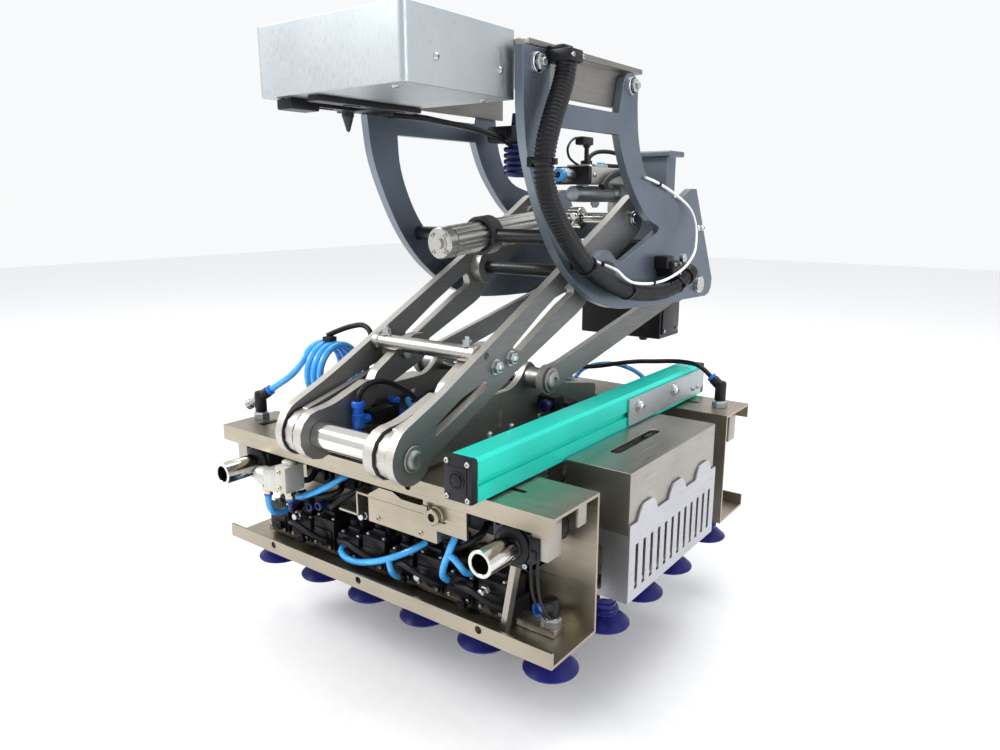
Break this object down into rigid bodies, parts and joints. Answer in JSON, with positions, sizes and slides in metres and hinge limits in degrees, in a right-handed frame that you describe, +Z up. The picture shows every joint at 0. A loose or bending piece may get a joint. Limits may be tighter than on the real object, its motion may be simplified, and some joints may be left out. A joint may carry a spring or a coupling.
{
  "type": "vacuum area gripper",
  "caption": "Area gripper of suction cups on two sliding carriers, hung from a robot head by pneumatic swing arms with an extruded vacuum ejector beside them.",
  "frame": {"origin": "centre of the robot mounting face on top of the head", "axes": "+Z up out of the mounting face, +X to the ejector's side, -Y to the front carrier under the sheet-metal box"},
  "size_m": [0.481, 0.658, 0.592],
  "materials": {
    "stainless": "satin",
    "painted_steel": "satin",
    "arm_steel": "satin",
    "zinc": "satin",
    "chrome": "polished",
    "aluminium": "satin",
    "turquoise": "satin",
    "black": "matte",
    "navy": "matte",
    "blue": "gloss",
    "white": "matte"
  },
  "bodies": {
    "head": {"robot_adapter_plate": "aluminium", "head_channel": "zinc", "hanger_plate_right": "painted_steel", "hanger_plate_left": "painted_steel", "head_box": "zinc", "sensor_rails": "black", "upper_pivot_shaft": "chrome", "link_shaft_upper": "chrome", "rear_cross_block": "painted_steel", "air_unit": "aluminium", "rear_valve_box": "black", "hanger_conduit": "black", "sensor_cable": "white"},
    "arms": {"swing_arm_right": "arm_steel", "swing_arm_left": "arm_steel", "arm_doubler_right": "arm_steel", "arm_doubler_left": "arm_steel", "stretcher_bar": "zinc", "cylinder_pin": "chrome"},
    "rear_links": {"rear_link_right": "arm_steel", "rear_link_left": "arm_steel"},
    "cylinder": {"cylinder_barrel": "aluminium", "cylinder_end_cap": "aluminium", "trunnion_yoke": "painted_steel"},
    "rod": {"piston_rod": "chrome"},
    "base": {"cheek_plate_right": "stainless", "cheek_plate_left": "stainless", "lower_pivot_shaft": "chrome", "link_shaft_lower": "chrome", "cross_bar_front": "aluminium", "cross_bar_back": "aluminium", "guide_rod_right": "chrome", "guide_rod_left": "chrome", "centre_plate": "stainless", "cup_row_front": "navy", "cup_row_middle": "navy", "cup_row_back": "navy", "end_cover_right": "stainless", "end_cover_left": "stainless", "slotted_guard_right": "stainless", "slotted_guard_left": "stainless", "ejector_housing": "turquoise", "ejector_cap_front": "black", "ejector_cap_back": "black", "ejector_bracket": "zinc", "spread_cylinder": "aluminium"},
    "front_carrier": {"front_carrier_frame": "stainless", "front_bearing_beam": "aluminium", "front_cup_row": "navy", "front_spread_rod": "chrome", "inlet_elbow": "black", "outlet_elbow": "black", "corner_elbow": "black", "supply_coil": "blue", "supply_tube_in": "blue", "supply_tube_out": "blue"},
    "back_carrier": {"back_carrier_frame": "stainless", "back_bearing_beam": "aluminium", "back_cup_row": "navy", "back_spread_rod": "chrome"}
  },
  "joints": [
    {"name": "arm_swing", "type": "hinge", "parent": "head", "child": "arms", "pos_m": [0, 0.042, -0.245], "axis": [1, 0, 0], "range_deg": [-2, 15]},
    {"name": "base_level", "type": "hinge", "parent": "arms", "child": "base", "pos_m": [0, -0.26, -0.393], "axis": [1, 0, 0], "range_deg": [-15.1, 2.1]},
    {"name": "link_swing", "type": "hinge", "parent": "base", "child": "rear_links", "pos_m": [0, -0.05, -0.356], "axis": [1, 0, 0], "range_deg": [-1.9, 13.5]},
    {"name": "cylinder_tilt", "type": "hinge", "parent": "head", "child": "cylinder", "pos_m": [0, -0.045, -0.2], "axis": [1, 0, 0], "range_deg": [-1.3, 9.1]},
    {"name": "rod_stroke", "type": "slide", "parent": "cylinder", "child": "rod", "axis": [0, 0.9969, 0.0786], "range_m": [-0.015, 0.0021]},
    {"name": "front_carrier_slide", "type": "slide", "parent": "base", "child": "front_carrier", "axis": [0, 1, 0], "range_m": [0, 0.028]},
    {"name": "back_carrier_slide", "type": "slide", "parent": "base", "child": "back_carrier", "axis": [0, -1, 0], "range_m": [0, 0.028]}
  ],
  "couplings": [
    {"joint": "base_level", "follows": "arm_swing", "ratio": -1},
    {"joint": "link_swing", "follows": "arm_swing", "ratio": 0.892},
    {"joint": "cylinder_tilt", "follows": "arm_swing", "ratio": 0.5967},
    {"joint": "rod_stroke", "follows": "arm_swing", "m_per_rad": -0.05648},
    {"joint": "back_carrier_slide", "follows": "front_carrier_slide", "ratio": 1}
  ]
}
